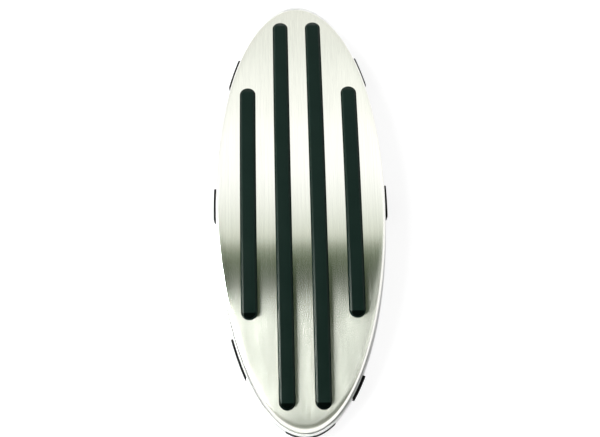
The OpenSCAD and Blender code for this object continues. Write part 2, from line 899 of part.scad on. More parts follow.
module tread_frame() {
  color(silver_plastic)
    difference() {
      union() {
        difference() {
          union() {
            frame_layer(0, flange_low_radius - slot_fit);
            frame_layer(plate_gauge + plate_fit, frame_top_radius - frame_step);
            frame_layer(plate_gauge + plate_fit + frame_step, frame_top_radius);
          }
          frame_layer(skirt_wall, frame_under_radius, skirt_z - 1);
        }
        intersection() {
          frame_fittings();
          under_arch(frame_under_radius + frame_shell / 4);
          linear_extrude(crown_z)
            tread_oval(skirt_wall - 0.4);
        }
        hook_noses();
      }
      for (p = bracket_screw_places)
        translate([p[0], p[1], bracket_top])
          cylinder(r = screw_radius, h = 2 * bracket_screw_length, center = true);
      for (side = [-1, 1])
        translate([side * sector_screw_x, sector_screw_y, sector_flange_z])
          cylinder(r = screw_radius, h = 2 * (sector_screw_length - sector_flange), center = true);
      for (p = stud_places)
        translate([p[0], p[1], skirt_z])
          cylinder(d = stud_diameter + 2 * slot_fit, h = crown_z);
      for (p = strip_peg_places)
        translate([p[0], p[1], skirt_z])
          cylinder(r = strip_peg_radius, h = crown_z);
    }
}

// ---- Tread plate ----

plate_shares = [0.12, 0.25, 0.38, 0.5, 0.62, 0.74, 0.86, 1];
round_steps = 4;

// Ring of points on an oval, drop below the arch but never under low
function plate_ring(width, length, drop, low) = [for (i = [0:plate_steps - 1])
  let (p = oval_point(width, length, 360 * i / plate_steps))
  [p[0], p[1], max(arch_height(p[1], arch_radius) - drop, low)]];

// Rings of one side of the sheet, from the crown to its lowest edge
function plate_side(inset, drop, r, low) = concat(
  [for (s = plate_shares)
    plate_ring((tread_width - 2 * (inset + r)) * s, (tread_length - 2 * (inset + r)) * s, drop, low)],
  [for (i = [1:round_steps]) let (a = 90 * i / round_steps, in = inset + r * (1 - sin(a)))
    plate_ring(tread_width - 2 * in, tread_length - 2 * in, drop + r * (1 - cos(a)), low)],
  [plate_ring(tread_width - 2 * inset, tread_length - 2 * inset, edge_radius + flange_height, low)]);

// Closed skin through a list of rings, with a point at each end of the list
module ring_skin(start, rings, finish) {
  n = len(rings[0]);
  count = len(rings);
  points = concat([start], [for (ring = rings) each ring], [finish]);
  end = len(points) - 1;
  faces = concat(
    [for (k = [0:n - 1]) [0, 1 + (k + 1) % n, 1 + k]],
    [for (i = [0:count - 2], k = [0:n - 1])
      let (a = 1 + i * n + k, b = 1 + i * n + (k + 1) % n) each [[a, b, b + n], [a, b + n, a + n]]],
    [for (k = [0:n - 1]) [end - n + k, end - n + (k + 1) % n, end]]);
  polyhedron(points, faces);
}

// The sheet's underside rings, from its lowest edge back to the crown
plate_low = skirt_z + 0.2;
plate_over = plate_side(0, 0, edge_radius, plate_low);
plate_under = plate_side(plate_gauge, plate_gauge, edge_radius - plate_gauge, plate_low);

module tread_plate() {
  color(steel) {
    difference() {
      ring_skin([0, 0, crown_z],
        concat(plate_over, [for (i = [len(plate_under) - 1:-1:0]) plate_under[i]]),
        [0, 0, crown_z - plate_gauge]);
      for (strip = strip_list)
        translate([strip[0], 0, skirt_z])
          linear_extrude(crown_z)
            slot_outline(strip_width + 2 * slot_fit, 2 * strip[1] + 2 * slot_fit);
    }
    for (p = stud_places)
      translate([p[0], p[1], stud_seat_z(p[1]) - nut_height - 0.8])
        cylinder(d = stud_diameter, h = arch_height(p[1], arch_radius) - plate_gauge / 2
          - stud_seat_z(p[1]) + nut_height + 0.8);
  }
}

module plate_nuts() {
  color(steel)
    for (p = stud_places)
      translate([p[0], p[1], stud_seat_z(p[1]) - nut_height])
        difference() {
          cylinder(r = nut_radius, h = nut_height, $fn = 6);
          translate([0, 0, -1])
            cylinder(d = stud_diameter, h = nut_height + 2);
        }
}

// ---- Strips, each [place across the tread, half length] ----

strip_list = [[-outer_strip_offset, outer_strip_half], [-inner_strip_offset, inner_strip_half],
  [inner_strip_offset, inner_strip_half], [outer_strip_offset, outer_strip_half]];
strip_peg_places = [for (s = strip_list, y = [-1, 0, 1]) [s[0], y * (s[1] - strip_peg_inset)]];
strip_steps = 16;
tip_steps = 6;
tip_start = 10;
tip_rise = 0.5;
strip_lift = 0.08;

// Half width of a strip at the distance d from its tip
function strip_half_width(d) = d >= strip_width / 2 ? strip_width / 2
  : sqrt(pow(strip_width / 2, 2) - pow(strip_width / 2 - d, 2));

// One cross section of a strip at y, the distance d from the nearer tip
function strip_section(y, d) =
  let (hw = strip_half_width(d),
    rise = min(strip_rise, tip_rise + (strip_rise - tip_rise) * d / strip_slope),
    side = min(strip_chamfer, 0.6 * hw), lower = min(strip_chamfer, rise - tip_rise / 2),
    low = arch_height(y, frame_top_radius) + strip_lift, top = arch_height(y, arch_radius) + rise)
  [[-hw, y, low], [-hw, y, top - lower], [side - hw, y, top], [hw - side, y, top],
    [hw, y, top - lower], [hw, y, low]];

module strip(index) {
  half = strip_list[index][1];
  tips = [for (i = [0:tip_steps]) let (a = tip_start + (90 - tip_start) * i / tip_steps)
    strip_width / 2 * (1 - cos(a))];
  straight = half - strip_width / 2;
  stations = concat([for (d = tips) [d - half, d]],
    [for (i = [1:strip_steps - 1]) [straight * (2 * i / strip_steps - 1), strip_width]],
    [for (i = [len(tips) - 1:-1:0]) [half - tips[i], tips[i]]]);
  rings = [for (s = stations) strip_section(s[0], s[1])];
  n = len(rings[0]);
  last = (len(rings) - 1) * n;
  faces = concat([for (k = [1:n - 2]) [0, k, k + 1]], [for (k = [1:n - 2]) [last, last + k + 1, last + k]],
    [for (i = [0:len(rings) - 2], k = [0:n - 1])
      let (a = i * n + k, b = i * n + (k + 1) % n) each [[a, b + n, b], [a, a + n, b + n]]]);
  color(rubber)
    translate([strip_list[index][0], 0, 0]) {
      polyhedron([for (ring = rings) each ring], faces);
      for (y = [-1, 0, 1]) {
        peg_y = y * (half - strip_peg_inset);
        peg_low = arch_height(peg_y, frame_under_radius);
        translate([0, peg_y, peg_low])
          cylinder(r = strip_peg_radius, h = frame_shell + plate_gauge / 2);
      }
    }
}

// ---- Toothed sector ----

module sector_outline() {
  root = sector_radius - dedendum;
  tip = sector_radius + addendum;
  back = root - sector_back;
  low = mesh_angle - (teeth_below + 0.5) * tooth_pitch;
  high = mesh_angle + (teeth_above + 0.5) * tooth_pitch;
  teeth = [for (k = [-teeth_below:teeth_above], e = [[root, -1], [tip, -1], [tip, 1], [root, 1]])
    let (half = (PI * gear_module / 2 - backlash) / 2 - (e[0] - sector_radius) * tan(pressure_angle))
    [e[0], mesh_angle + k * tooth_pitch + e[1] * half / e[0] * 180 / PI]];
  polygon([for (p = concat([[back, low], [root, low]], teeth,
      [[root, high], [back, high], [back, (low + high) / 2]]))
    p[0] * [cos(p[1]), sin(p[1])]]);
}

module toothed_sector() {
  stem_low = hinge_z + (sector_radius - dedendum - sector_back)
    * sin(mesh_angle + (teeth_above - 0.5) * tooth_pitch);
  color("ivory")
    difference() {
      union() {
        translate([-sector_width / 2, hinge_y, hinge_z])
          rotate([90, 0, 90])
            linear_extrude(sector_width)
              sector_outline();
        block([-sector_width / 2, sector_stem_y, stem_low],
          [sector_width / 2, sector_flange_front, sector_flange_z]);
        block([-sector_screw_x - screw_boss - 0.5, sector_flange_back, sector_flange_z - sector_flange],
          [sector_screw_x + screw_boss + 0.5, sector_flange_front, sector_flange_z]);
      }
      for (side = [-1, 1])
        translate([side * sector_screw_x, sector_screw_y, sector_flange_z])
          cylinder(r = screw_radius, h = 3 * sector_flange, center = true);
    }
}

module sector_screws() {
  color(steel)
    for (side = [-1, 1])
      translate([side * sector_screw_x, sector_screw_y, sector_flange_z - sector_flange])
        rotate([180, 0, 0])
          screw(sector_screw_length);
}

base_pan();
base_wall();
base_posts();
bumper(bumper_list[0]);  // toe_left_bumper
bumper(bumper_list[1]);  // toe_right_bumper
bumper(bumper_list[2]);  // mid_left_bumper
bumper(bumper_list[3]);  // mid_right_bumper
bumper(bumper_list[4]);  // heel_left_bumper
bumper(bumper_list[5]);  // heel_right_bumper
bumper(bumper_list[6]);  // heel_bumper
foot(foot_places[0]);  // toe_right_foot
foot(foot_places[1]);  // toe_left_foot
foot(foot_places[2]);  // mid_right_foot
foot(foot_places[3]);  // mid_left_foot
foot(foot_places[4]);  // heel_right_foot
foot(foot_places[5]);  // heel_left_foot
hinge_block(-1);  // left_hinge_block
hinge_block(1);  // right_hinge_block
block_screws();
hinge_pin();
pin_clips();
return_spring(-1);  // left_spring
return_spring(1);  // right_spring
keeper(-1);  // left_keeper
keeper(1);  // right_keeper
keeper_screws();
travel_buffer(-1);  // left_buffer
travel_buffer(1);  // right_buffer
ballast(toe_ballast_y);  // toe_ballast
ballast(heel_ballast_y);  // heel_ballast
ballast_screws();
circuit_board();
control_chip();
board_capacitor();
jack_socket();
sensor_body();
board_screws();
sensor_shaft();
drive_pinion();
tread_frame();
tread_plate();
strip(0);  // outer_left_strip
strip(1);  // inner_left_strip
strip(2);  // inner_right_strip
strip(3);  // outer_right_strip
plate_nuts();
hinge_bracket();
bracket_screws();
hinge_bushes();
toothed_sector();
sector_screws();
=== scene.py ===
import json
import math

import bmesh
import bpy
from mathutils import Matrix, Vector


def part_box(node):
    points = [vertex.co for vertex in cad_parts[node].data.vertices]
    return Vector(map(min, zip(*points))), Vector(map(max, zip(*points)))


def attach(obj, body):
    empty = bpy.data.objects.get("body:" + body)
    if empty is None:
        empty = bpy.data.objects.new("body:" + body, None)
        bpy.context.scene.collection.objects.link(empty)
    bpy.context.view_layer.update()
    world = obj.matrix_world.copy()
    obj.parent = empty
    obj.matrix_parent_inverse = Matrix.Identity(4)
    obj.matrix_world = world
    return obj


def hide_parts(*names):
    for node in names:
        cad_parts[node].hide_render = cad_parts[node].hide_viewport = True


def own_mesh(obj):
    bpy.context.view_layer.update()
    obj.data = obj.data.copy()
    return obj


mm = 0.001
quarterTurn = math.pi / 2
weldDistance = 0.01 * mm
levelNormal = 0.9       # least z of the normal of a face that counts as level
white = (1, 1, 1, 1)

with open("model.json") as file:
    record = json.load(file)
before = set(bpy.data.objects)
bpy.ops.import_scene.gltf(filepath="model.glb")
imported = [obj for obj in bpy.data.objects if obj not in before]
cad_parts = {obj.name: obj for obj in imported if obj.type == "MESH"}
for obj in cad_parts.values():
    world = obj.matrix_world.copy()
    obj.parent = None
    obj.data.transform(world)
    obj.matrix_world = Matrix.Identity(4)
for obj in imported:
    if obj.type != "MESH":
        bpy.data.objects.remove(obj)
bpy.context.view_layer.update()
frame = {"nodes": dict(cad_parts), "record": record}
nodes = frame["nodes"]
print("frame loaded,", len(nodes), "parts")

# The tread's face is part of a cylinder that lies across it, cut to an oval.
plateLow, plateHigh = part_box("tread_plate")
tread = {
    "outline": (plateHigh.x, plateHigh.y),      # half width, half length
    "crown": plateHigh.z,
    "sag": 20.7 * mm,       # from the crown down to the ends
    "ringSteps": 192,       # corners of each oval ring
}
archRadius = (tread["outline"][1] ** 2 + tread["sag"] ** 2) / (2 * tread["sag"])


def archHeight(y):
    return tread["crown"] - archRadius + math.sqrt(archRadius ** 2 - y ** 2)


def below(drop, least=0.0):
    # height of a ring that runs at an even drop under the arch
    return lambda y: max(archHeight(y) - drop, least)


def shrink(outline, inset):
    halfWidth, halfLength = outline
    return halfWidth - inset, halfLength - inset


def ring(outline, inset, height):
    # half width, half length and height, as ovalSolid takes them
    return (*shrink(outline, inset), height)


def scaledRings(outline, shares, height):
    halfWidth, halfLength = outline
    return [(halfWidth * share, halfLength * share, height) for share in shares]


def quarterRound(steps):
    # sine and cosine of even steps from 0 to 90 degrees
    turns = [quarterTurn * step / steps for step in range(steps + 1)]
    return [(math.sin(turn), math.cos(turn)) for turn in turns]


def pickOnly(piece):
    bpy.ops.object.select_all(action="DESELECT")
    piece.select_set(True)
    bpy.context.view_layer.objects.active = piece


def startEdit(piece):
    pickOnly(piece)
    bpy.ops.object.mode_set(mode="EDIT")
    bpy.ops.mesh.select_all(action="SELECT")


def endEdit():
    bpy.ops.object.mode_set(mode="OBJECT")


def addPrimitive(kind, name, **sizes):
    bpy.ops.object.select_all(action="DESELECT")
    getattr(bpy.ops.mesh, "primitive_" + kind + "_add")(**sizes)
    piece = bpy.context.object
    piece.name = name
    piece.data.name = name
    return piece


def pickEdges(piece, test):
    shape = bmesh.from_edit_mesh(piece.data)
    bpy.ops.mesh.select_all(action="DESELECT")
    for edge in shape.edges:
        if test(edge):
            edge.select_set(True)
    bmesh.update_edit_mesh(piece.data)


def setHeights(piece, height):
    # height is a number, or a function of a point's place along the tread
    shape = bmesh.from_edit_mesh(piece.data)
    for vertex in shape.verts:
        if vertex.select:
            vertex.co.z = height(vertex.co.y) if callable(height) else height
    bmesh.update_edit_mesh(piece.data)


def closeMesh():
    # merges doubles, turns the faces outwards and leaves edit mode
    bpy.ops.mesh.select_all(action="SELECT")
    bpy.ops.mesh.remove_doubles(threshold=weldDistance)
    bpy.ops.mesh.normals_make_consistent(inside=False)
    endEdit()


def ovalSolid(name, rows, steps):
    # closed solid through oval rings, each (half width, half length, height)
    piece = addPrimitive("circle", name, vertices=steps, radius=1, fill_type="NGON")
    startEdit(piece)
    lastWidth = lastLength = 1
    for index, (halfWidth, halfLength, height) in enumerate(rows):
        if index:
            bpy.ops.mesh.extrude_region_move()
        bpy.ops.transform.resize(value=(halfWidth / lastWidth, halfLength / lastLength, 1))
        setHeights(piece, height)
        lastWidth, lastLength = halfWidth, halfLength
    closeMesh()
    return piece


def applyModifier(piece, kind, **settings):
    pickOnly(piece)
    modifier = piece.modifiers.new(kind.lower(), kind)
    for setting, value in settings.items():
        setattr(modifier, setting, value)
    bpy.ops.object.modifier_apply(modifier=modifier.name)


def combine(piece, other, operation):
    applyModifier(piece, "BOOLEAN", object=other, operation=operation, solver="EXACT")
    bpy.data.objects.remove(other)


def smooth(piece, angle):
    pickOnly(piece)
    bpy.ops.object.shade_smooth_by_angle(angle=math.radians(angle))


def finishPiece(piece, body, slot, *replaced):
    piece.data.materials.clear()
    piece.data.materials.append(materials[slot])
    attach(piece, body)
    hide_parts(*replaced)


def footOf(node):
    # middle of the underside of the node's box
    low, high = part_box(node)
    return (low.x + high.x) / 2, (low.y + high.y) / 2, low.z


def standCopies(pattern, places, body, slot):
    # in place of each node, a copy of a piece that was made on the origin
    for name, node in places.items():
        piece = pattern.copy()
        piece.data = pattern.data.copy()
        piece.name = name
        piece.data.name = name
        bpy.context.scene.collection.objects.link(piece)
        piece.data.transform(Matrix.Translation(footOf(node)))
        finishPiece(piece, body, slot, node)
    bpy.data.objects.remove(pattern)


def newGroup(name, inputs, outputs):
    group = bpy.data.node_groups.new(name, "ShaderNodeTree")
    for label, value in inputs.items():
        socket = group.interface.new_socket(label, in_out="INPUT", socket_type="NodeSocketFloat")
        socket.default_value = value
    for label in outputs:
        group.interface.new_socket(label, in_out="OUTPUT", socket_type="NodeSocketFloat")
    return group, group.nodes.new("NodeGroupInput"), group.nodes.new("NodeGroupOutput")


def mathNode(tree, operation, first, second):
    node = tree.nodes.new("ShaderNodeMath")
    node.operation = operation
    for socket, value in ((node.inputs[0], first), (node.inputs[1], second)):
        if isinstance(value, (int, float)):
            socket.default_value = value
        else:
            tree.links.new(value, socket)
    return node.outputs[0]


def sharedNode(tree, first, share, second):
    # a share of the first value, and the rest of the second
    return mathNode(tree, "ADD", mathNode(tree, "MULTIPLY", first, share),
        mathNode(tree, "MULTIPLY", second, 1 - share))


def noiseNode(tree, vector, scale, detail, roughness):
    node = tree.nodes.new("ShaderNodeTexNoise")
    tree.links.new(vector, node.inputs["Vector"])
    tree.links.new(scale, node.inputs["Scale"])
    node.inputs["Detail"].default_value = detail
    node.inputs["Roughness"].default_value = roughness
    return node.outputs[0]


def stretchNode(tree, vector, scale):
    node = tree.nodes.new("ShaderNodeMapping")
    node.inputs["Scale"].default_value = scale
    tree.links.new(vector, node.inputs["Vector"])
    return node.outputs[0]


def rangeNode(tree, value, fromLow, fromHigh, low, high):
    node = tree.nodes.new("ShaderNodeMapRange")
    tree.links.new(value, node.inputs["Value"])
    sockets = ("From Min", "From Max", "To Min", "To Max")
    for label, number in zip(sockets, (fromLow, fromHigh, low, high)):
        node.inputs[label].default_value = number
    return node.outputs["Result"]


grains = {
    "outputs": ("Height", "Tone", "Rough"),
    "span": (0.3, 0.7),     # of a noise's values, that a finish spreads over its two ends
    # for the steel: changes per metre across, along and through the sheet, detail and its roughness
    "fine": ((5200, 70, 900), 3, 0.6),
    "coarse": ((1500, 14, 300), 3, 0.55),
    "slow": ((60, 9, 30), 2, 0.5),
    "fineInHeight": 0.45,   # the rest is coarse
    "heightInTone": 0.8,    # the rest is slow
    "coarseInRough": 0.6,   # the rest is slow
    # for the rest: changes per metre of the grain and of the handling marks, detail and its roughness
    "moulded": {"Grain": 2200.0, "Marks": 45.0},
    "grainDetail": (2, 0.6),
    "marksDetail": (4, 0.6),
    "grainInTone": 0.35,    # the rest is marks
}


def brushedGroup():
    # fine and coarse scratches along Y, and the slow change of tone between them
    group, given, made = newGroup("brushed grain", {"Lines": 1.0}, grains["outputs"])
    place = group.nodes.new("ShaderNodeTexCoord").outputs["Object"]
    lines = []
    for kind in ("fine", "coarse", "slow"):
        scale, detail, roughness = grains[kind]
        lines.append(noiseNode(group, stretchNode(group, place, scale), given.outputs["Lines"],
            detail, roughness))
    fine, coarse, slow = lines
    height = sharedNode(group, fine, grains["fineInHeight"], coarse)
    tone = sharedNode(group, height, grains["heightInTone"], slow)
    rough = sharedNode(group, coarse, grains["coarseInRough"], slow)
    for label, value in zip(grains["outputs"], (height, tone, rough)):
        group.links.new(value, made.inputs[label])
    return group


def mouldedGroup():
    # fine moulded texture with soft handling marks, for plastic, rubber and plain metal
    group, given, made = newGroup("moulded grain", grains["moulded"], grains["outputs"])
    place = group.nodes.new("ShaderNodeTexCoord").outputs["Object"]
    grain = noiseNode(group, place, given.outputs["Grain"], *grains["grainDetail"])
    marks = noiseNode(group, place, given.outputs["Marks"], *grains["marksDetail"])
    tone = sharedNode(group, grain, grains["grainInTone"], marks)
    for label, value in zip(grains["outputs"], (grain, tone, marks)):
        group.links.new(value, made.inputs[label])
    return group


brushedGrain = brushedGroup()
mouldedGrain = mouldedGroup()


def buildMaterial(name, look):
    material = bpy.data.materials.new(name)
    material.use_nodes = True
    tree = material.node_tree
    shader = tree.nodes["Principled BSDF"]
    group = tree.nodes.new("ShaderNodeGroup")
    group.node_tree = brushedGrain if look.get("brushed") else mouldedGrain
    for label, value in look.get("grain", {}).items():
        group.inputs[label].default_value = value
    tone = tree.nodes.new("ShaderNodeMix")
    tone.data_type = "RGBA"
    tree.links.new(rangeNode(tree, group.outputs["Tone"], *grains["span"], 0, 1), tone.inputs["Factor"])
    for label, colour in zip("AB", look["colours"]):
        tone.inputs[label].default_value = (*colour, 1)
    tree.links.new(tone.outputs["Result"], shader.inputs["Base Color"])
    tree.links.new(rangeNode(tree, group.outputs["Rough"], *grains["span"], *look["roughness"]),
        shader.inputs["Roughness"])
    bump = tree.nodes.new("ShaderNodeBump")
    bump.inputs["Strength"].default_value = look["bump"]
    bump.inputs["Distance"].default_value = look["depth"]
    tree.links.new(group.outputs["Height"], bump.inputs["Height"])
    tree.links.new(bump.outputs["Normal"], shader.inputs["Normal"])
    for label, value in look.get("plain", {}).items():
        shader.inputs[label].default_value = value
    if look.get("grainUv"):
        tangent = tree.nodes.new("ShaderNodeTangent")
        tangent.direction_type = "UV_MAP"
        tangent.uv_map = look["grainUv"]
        tree.links.new(tangent.outputs[0], shader.inputs["Tangent"])
    return material


# each finish: darkest and lightest colour, least and most roughness, strength and depth of its bumps
looks = {
    "brushed_steel": {
        "brushed": True, "colours": ((0.77, 0.77, 0.73), (0.90, 0.90, 0.855)),
        "roughness": (0.172, 0.207), "bump": 0.7, "depth": 0.02 * mm, "grainUv": "grain",
        "plain": {"Metallic": 1.0, "Anisotropic": 1.0}},
    "strip_rubber": {
        "colours": ((0.0052, 0.0162, 0.0122), (0.0082, 0.0215, 0.0165)), "roughness": (0.34, 0.42),
        "bump": 0.12, "depth": 0.03 * mm, "plain": {"Specular IOR Level": 0.06}},
    # painted shade: the same rubber, darker and without shine, for the facets at the heel end of the
    # strips
    "strip_end_painted_shade": {
        "colours": ((0.0018, 0.0038, 0.0030), (0.0028, 0.0052, 0.0042)), "roughness": (0.45, 0.55),
        "bump": 0.12, "depth": 0.03 * mm, "plain": {"Specular IOR Level": 0.0}},
    "bumper_rubber": {
        "colours": ((0.003, 0.003, 0.003), (0.006, 0.006, 0.006)), "roughness": (0.5, 0.65),
        "bump": 0.2, "depth": 0.04 * mm, "plain": {"Specular IOR Level": 0.04}},
    "foot_rubber": {
        "colours": ((0.016, 0.016, 0.017), (0.027, 0.027, 0.028)), "roughness": (0.6, 0.78),
        "bump": 0.3, "depth": 0.06 * mm, "plain": {"Specular IOR Level": 0.3}},
    "pan_plastic": {
        "colours": ((0.82, 0.83, 0.825), (0.89, 0.90, 0.89)), "roughness": (0.3, 0.4),
        "bump": 0.12, "depth": 0.03 * mm, "plain": {"Metallic": 0.15}},
    "frame_plastic": {
        "colours": ((0.68, 0.69, 0.685), (0.76, 0.77, 0.76)), "roughness": (0.34, 0.46),
        "bump": 0.15, "depth": 0.03 * mm, "plain": {"Metallic": 0.15}},
    "black_plastic": {
        "colours": ((0.012, 0.012, 0.013), (0.024, 0.024, 0.026)), "roughness": (0.42, 0.55),
        "bump": 0.25, "depth": 0.05 * mm},
    "zinc_steel": {
        "colours": ((0.52, 0.53, 0.55), (0.68, 0.69, 0.70)), "roughness": (0.26, 0.4),
        "bump": 0.08, "depth": 0.02 * mm, "grain": {"Grain": 1500.0, "Marks": 160.0},
        "plain": {"Metallic": 1.0}},
    "spring_steel": {
        "colours": ((0.30, 0.30, 0.31), (0.42, 0.42, 0.43)), "roughness": (0.28, 0.42),
        "bump": 0.1, "depth": 0.02 * mm, "plain": {"Metallic": 1.0}},
    "ballast_steel": {
        "colours": ((0.16, 0.16, 0.165), (0.24, 0.24, 0.245)), "roughness": (0.5, 0.66),
        "bump": 0.25, "depth": 0.06 * mm},
    "board_laminate": {
        "colours": ((0.010, 0.080, 0.030), (0.020, 0.135, 0.055)), "roughness": (0.28, 0.4),
        "bump": 0.1, "depth": 0.03 * mm, "grain": {"Grain": 900.0, "Marks": 260.0}},
    "chip_plastic": {
        "colours": ((0.012, 0.012, 0.012), (0.020, 0.020, 0.020)), "roughness": (0.5, 0.6),
        "bump": 0.2, "depth": 0.03 * mm},
    "capacitor_can": {
        "colours": ((0.10, 0.11, 0.13), (0.16, 0.17, 0.20)), "roughness": (0.25, 0.35),
        "bump": 0.06, "depth": 0.02 * mm},
    "nylon": {
        "colours": ((0.66, 0.62, 0.52), (0.76, 0.73, 0.64)), "roughness": (0.35, 0.48),
        "bump": 0.12, "depth": 0.03 * mm, "plain": {"Subsurface Weight": 0.1}},
}
materials = {slot: buildMaterial(slot, look) for slot, look in looks.items()}
for row in frame["record"]["subparts"]:
    part = nodes[row["node"]]
    part.data.materials.clear()
    part.data.materials.append(materials[row["material_slot"]])
print("materials built,", len(materials), "finishes")

plate = {
    "gauge": 1.0 * mm,
    "edgeRadius": 2.2 * mm,
    "edgeSteps": 9,
    "flange": 3.0 * mm,     # below the rounding
    "shoulder": 5.2 * mm,   # the sheet starts to fall this far inside its edge
    "shoulderSteps": 6,
    "startSlope": math.radians(8),      # of the sheet where the rounding starts
    "middle": 0.02,         # size of the first ring, as a share of the sheet
    "rings": 18,            # from there to the shoulder
    "grainScale": 10,       # of the grain's map, per metre
}


def edgeProfile():
    # from the flat of the sheet down to its flange, each (inset, drop, slope)
    radius, start, shoulder = plate["edgeRadius"], plate["startSlope"], plate["shoulder"]
    run = shoulder - radius * (1 - math.sin(start))
    profile = []
    for step in range(plate["shoulderSteps"]):
        share = step / plate["shoulderSteps"]
        profile.append((shoulder - run * share, math.tan(start) * run * share ** 2 / 2,
            math.atan(math.tan(start) * share)))
    for step in range(plate["edgeSteps"] + 1):
        slope = start + (quarterTurn - start) * step / plate["edgeSteps"]
        profile.append((radius * (1 - math.sin(slope)),
            math.tan(start) * run / 2 + radius * (math.cos(start) - math.cos(slope)), slope))
    return profile


def plateFace(depth):
    # rings of the sheet's face, or of its underside at a depth of one gauge
    flat = shrink(tread["outline"], plate["shoulder"] + depth)
    middle, count = plate["middle"], plate["rings"]
    shares = [middle + (1 - middle) * step / count for step in range(count)]
    rows = scaledRings(flat, shares, below(depth, plateLow.z))
    for inset, drop, slope in edgeProfile():
        rows.append(ring(tread["outline"], inset + depth * math.sin(slope),
            below(drop + depth * math.cos(slope), plateLow.z)))
    return rows


def makePlate():
    bottom = below(plate["edgeRadius"] + plate["flange"], plateLow.z)
    flange = [ring(tread["outline"], 0, bottom), ring(tread["outline"], plate["gauge"], bottom)]
    rows = plateFace(0) + flange + plateFace(plate["gauge"])[::-1]
    piece = ovalSolid("treadPlate", rows, tread["ringSteps"])
    grainUv(piece)
    smooth(piece, angle=40)
    finishPiece(piece, "tread", "brushed_steel", "tread_plate")


def grainUv(piece):
    # u runs across the grain and v along it, also down the flange
    layer = piece.data.uv_layers.new(name="grain")
    scale = plate["grainScale"]
    for face in piece.data.polygons:
        signX = 1 if face.center.x > 0 else -1
        signY = 1 if face.center.y > 0 else -1
        for loop in face.loop_indices:
            point = piece.data.vertices[piece.data.loops[loop].vertex_index].co
            drop = archHeight(point.y) - point.z
            layer.data[loop].uv = (scale * (point.x + signX * drop), scale * (point.y + signY * drop))


makePlate()
print("tread plate made")

strips = {
    "width": 10.4 * mm,
    "lip": (0.8 * mm, 0.15 * mm),       # thin edge that lies on the plate: width, height
    "rise": 2.3 * mm,       # above the plate
    "sunk": 0.9 * mm,       # below the plate's face
    "chamfer": 0.9 * mm,
    "slope": 4.0 * mm,      # length of the slope at each end
    "tipRise": 0.5 * mm,    # height left where a slope ends
    "tipFlat": 0.01 * mm,   # half the flat between the two rounds of an end
    "tipSteps": 10,
    "softEdge": 0.3 * mm,
    "softAngle": math.radians(18),      # sharper edges than this are softened
    "cut": 7.0 * mm,        # between the cuts that let a strip follow the arch
    # the heel end's facets, which get painted shade: how far they go past the slope, least tilt, least
    # share of facing up
    "facets": (0.2 * mm, 0.25, 0.28),
    "nodes": {"outerLeftStrip": "outer_left_strip", "innerLeftStrip": "inner_left_strip",
        "innerRightStrip": "inner_right_strip", "outerRightStrip": "outer_right_strip"},
}


def stripBlock(name, middle, halfWidth, halfLength, top):
    # upright block with round ends, standing in the plate
    piece = addPrimitive("cube", name, size=1)
    startEdit(piece)
    bpy.ops.transform.resize(value=(2 * halfWidth, 2 * halfLength, top + strips["sunk"]))
    bpy.ops.transform.translate(value=(middle, 0, (top - strips["sunk"]) / 2))
    pickEdges(piece, lambda edge: abs(edge.verts[0].co.z - edge.verts[1].co.z) > strips["sunk"])
    bpy.ops.mesh.bevel(offset=halfWidth - strips["tipFlat"], segments=strips["tipSteps"], affect="EDGES")
    return piece


def isTopEdge(edge):
    # whether an edge of an upright block runs round its top
    upward = [face for face in edge.link_faces if face.normal.z > levelNormal]
    return len(upward) == 1 and all(vertex.co.z > 0 for vertex in edge.verts)


def isHeelFacet(face, halfLength):
    # whether a face belongs to the slope at the heel end, or to its soft edge; these faces get painted
    # shade
    past, tilt, leastUp = strips["facets"]
    near = face.center.y < strips["slope"] - halfLength + past
    return near and face.normal.z > leastUp and face.normal.y < -tilt * face.normal.z


def followArch(piece, halfLength):
    # crosswise cuts, then every corner up to the arch
    cuts = int(2 * halfLength / strips["cut"])
    for cut in range(1, cuts):
        bpy.ops.mesh.select_all(action="SELECT")
        bpy.ops.mesh.bisect(plane_co=(0, halfLength * (2 * cut / cuts - 1), 0), plane_no=(0, 1, 0))
    closeMesh()
    for vertex in piece.data.vertices:
        vertex.co.z += archHeight(vertex.co.y)


def makeStrip(name, node):
    low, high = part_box(node)
    middle, halfLength = (low.x + high.x) / 2, (high.y - low.y) / 2
    width, rise = strips["width"], strips["rise"]
    lipWidth, lipHeight = strips["lip"]
    piece = stripBlock(name, middle, width / 2 - lipWidth, halfLength - lipWidth, rise)
    pickEdges(piece, isTopEdge)
    bpy.ops.mesh.bevel(offset=strips["chamfer"], segments=1, affect="EDGES")
    tilt = math.atan2(rise - strips["tipRise"], strips["slope"])
    for end in (-1, 1):
        bpy.ops.mesh.select_all(action="SELECT")
        bpy.ops.mesh.bisect(plane_co=(0, end * (halfLength - strips["slope"]), rise),
            plane_no=(0, end * math.sin(tilt), math.cos(tilt)), use_fill=True, clear_outer=True)
    followArch(piece, halfLength)
    applyModifier(piece, "BEVEL", width=strips["softEdge"], segments=3, limit_method="ANGLE",
        angle_limit=strips["softAngle"])
    lip = stripBlock("lip", middle, width / 2, halfLength, lipHeight)
    followArch(lip, halfLength)
    combine(piece, lip, "UNION")
    smooth(piece, angle=50)
    finishPiece(piece, "tread", "strip_rubber", node)
    # painted shade: the heel-end facets take the darker rubber
    piece.data.materials.append(materials["strip_end_painted_shade"])
    for face in piece.data.polygons:
        if isHeelFacet(face, halfLength):
            face.material_index = 1


for name, node in strips["nodes"].items():
    makeStrip(name, node)
print("strips made")

